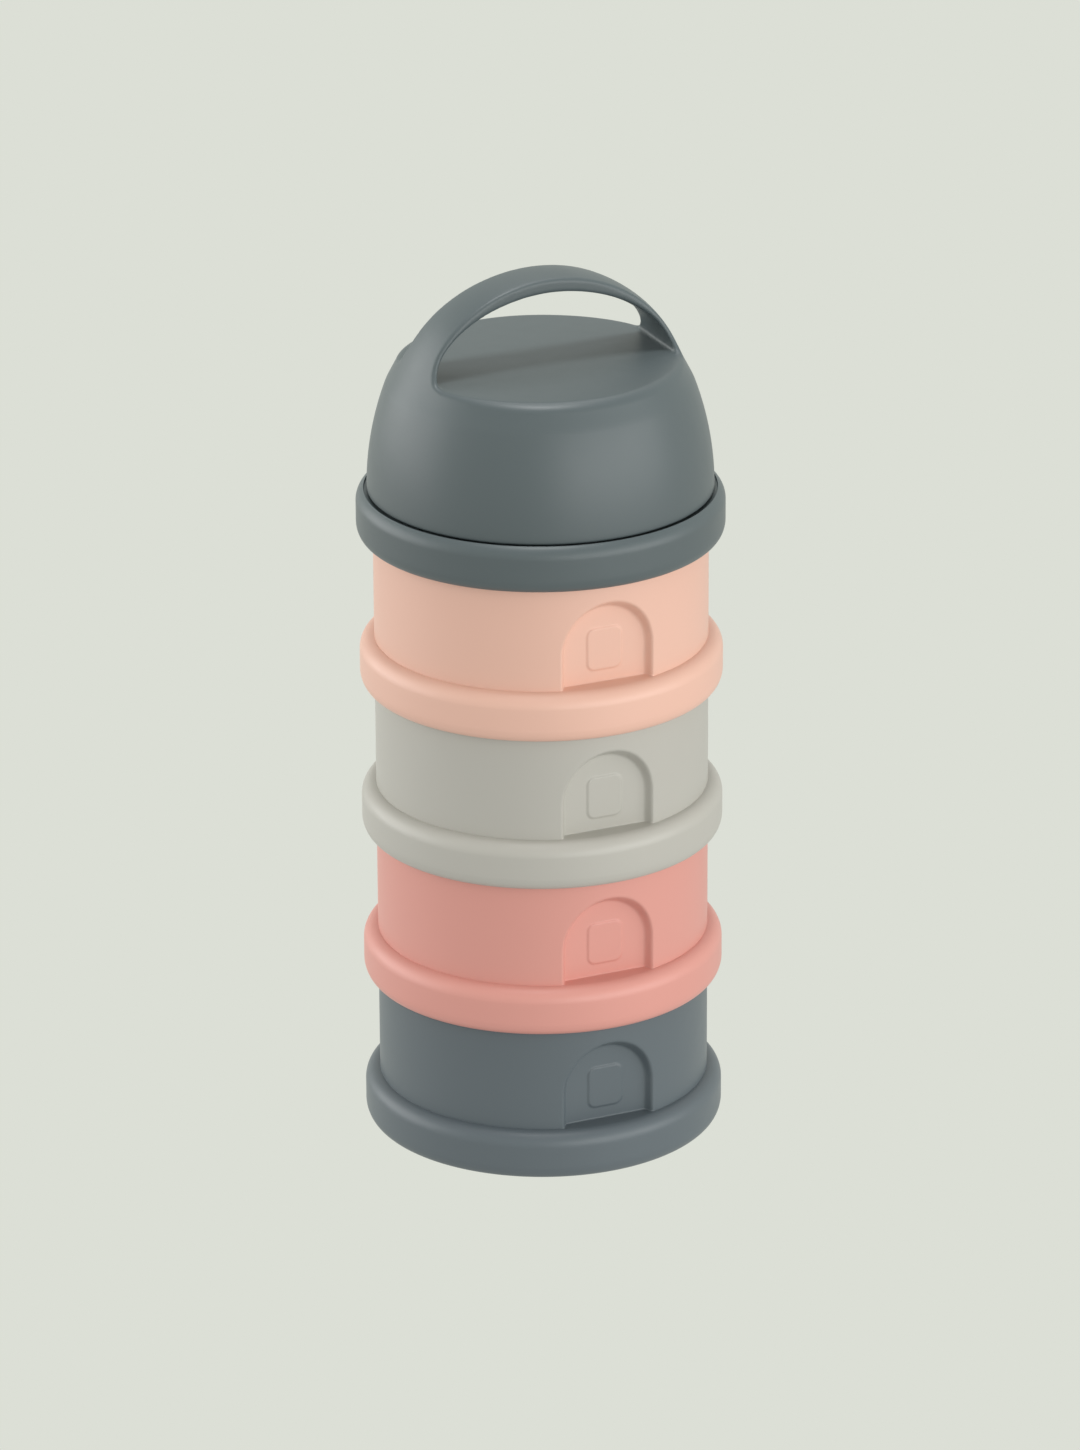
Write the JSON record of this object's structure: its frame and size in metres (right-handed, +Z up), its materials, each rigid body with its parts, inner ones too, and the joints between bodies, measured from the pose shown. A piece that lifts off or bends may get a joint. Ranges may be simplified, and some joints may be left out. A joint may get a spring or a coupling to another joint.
{
  "type": "formula dispenser",
  "caption": "Stack of round screw-together powder cups with arched label windows, a pouring funnel and a domed screw cap with an integral carry handle.",
  "frame": {"origin": "centre of the bottom rim, on the surface it stands on", "axes": "+Z up the stack's axis, the handle runs along X, the label windows face -Y"},
  "size_m": [0.093, 0.093, 0.2274],
  "materials": {
    "slate_plastic": "satin moulded polypropylene, slate grey",
    "coral_plastic": "satin moulded polypropylene, coral pink",
    "grey_plastic": "satin moulded polypropylene, warm light grey",
    "peach_plastic": "satin moulded polypropylene, peach",
    "silicone": "translucent milky silicone"
  },
  "bodies": {
    "slate_cup": {"compartment_slate": "slate_plastic"},
    "coral_seal": {"seal_coral": "silicone"},
    "coral_cup": {"compartment_coral": "coral_plastic"},
    "grey_seal": {"seal_grey": "silicone"},
    "grey_cup": {"compartment_grey": "grey_plastic"},
    "peach_seal": {"seal_peach": "silicone"},
    "peach_cup": {"compartment_peach": "peach_plastic"},
    "funnel_seal": {"seal_funnel": "silicone"},
    "funnel": {"pour_funnel": "slate_plastic"},
    "cap_seal": {"seal_cap": "silicone"},
    "cap": {"cap": "slate_plastic"}
  },
  "joints": [
    {"name": "coral_lift", "type": "slide", "parent": "slate_cup", "child": "coral_seal", "axis": [0, 0, 1], "range_m": [0, 0.018]},
    {"name": "coral_twist", "type": "hinge", "parent": "coral_seal", "child": "coral_cup", "pos_m": [0, 0, 0.03975], "axis": [0, 0, 1], "range_deg": [0, 360]},
    {"name": "grey_lift", "type": "slide", "parent": "coral_cup", "child": "grey_seal", "axis": [0, 0, 1], "range_m": [0, 0.018]},
    {"name": "grey_twist", "type": "hinge", "parent": "grey_seal", "child": "grey_cup", "pos_m": [0, 0, 0.0795], "axis": [0, 0, 1], "range_deg": [0, 360]},
    {"name": "peach_lift", "type": "slide", "parent": "grey_cup", "child": "peach_seal", "axis": [0, 0, 1], "range_m": [0, 0.018]},
    {"name": "peach_twist", "type": "hinge", "parent": "peach_seal", "child": "peach_cup", "pos_m": [0, 0, 0.11925], "axis": [0, 0, 1], "range_deg": [0, 360]},
    {"name": "funnel_lift", "type": "slide", "parent": "peach_cup", "child": "funnel_seal", "axis": [0, 0, 1], "range_m": [0, 0.018]},
    {"name": "funnel_twist", "type": "hinge", "parent": "funnel_seal", "child": "funnel", "pos_m": [0, 0, 0.159], "axis": [0, 0, 1], "range_deg": [0, 360]},
    {"name": "cap_lift", "type": "slide", "parent": "funnel", "child": "cap_seal", "axis": [0, 0, 1], "range_m": [0, 0.036]},
    {"name": "cap_twist", "type": "hinge", "parent": "cap_seal", "child": "cap", "pos_m": [0, 0, 0.171], "axis": [0, 0, 1], "range_deg": [0, 720]}
  ],
  "couplings": [
    {"joint": "coral_lift", "follows": "coral_twist", "m_per_rad": 0.0028648},
    {"joint": "grey_lift", "follows": "grey_twist", "m_per_rad": 0.0028648},
    {"joint": "peach_lift", "follows": "peach_twist", "m_per_rad": 0.0028648},
    {"joint": "funnel_lift", "follows": "funnel_twist", "m_per_rad": 0.0028648},
    {"joint": "cap_lift", "follows": "cap_twist", "m_per_rad": 0.0028648}
  ]
}
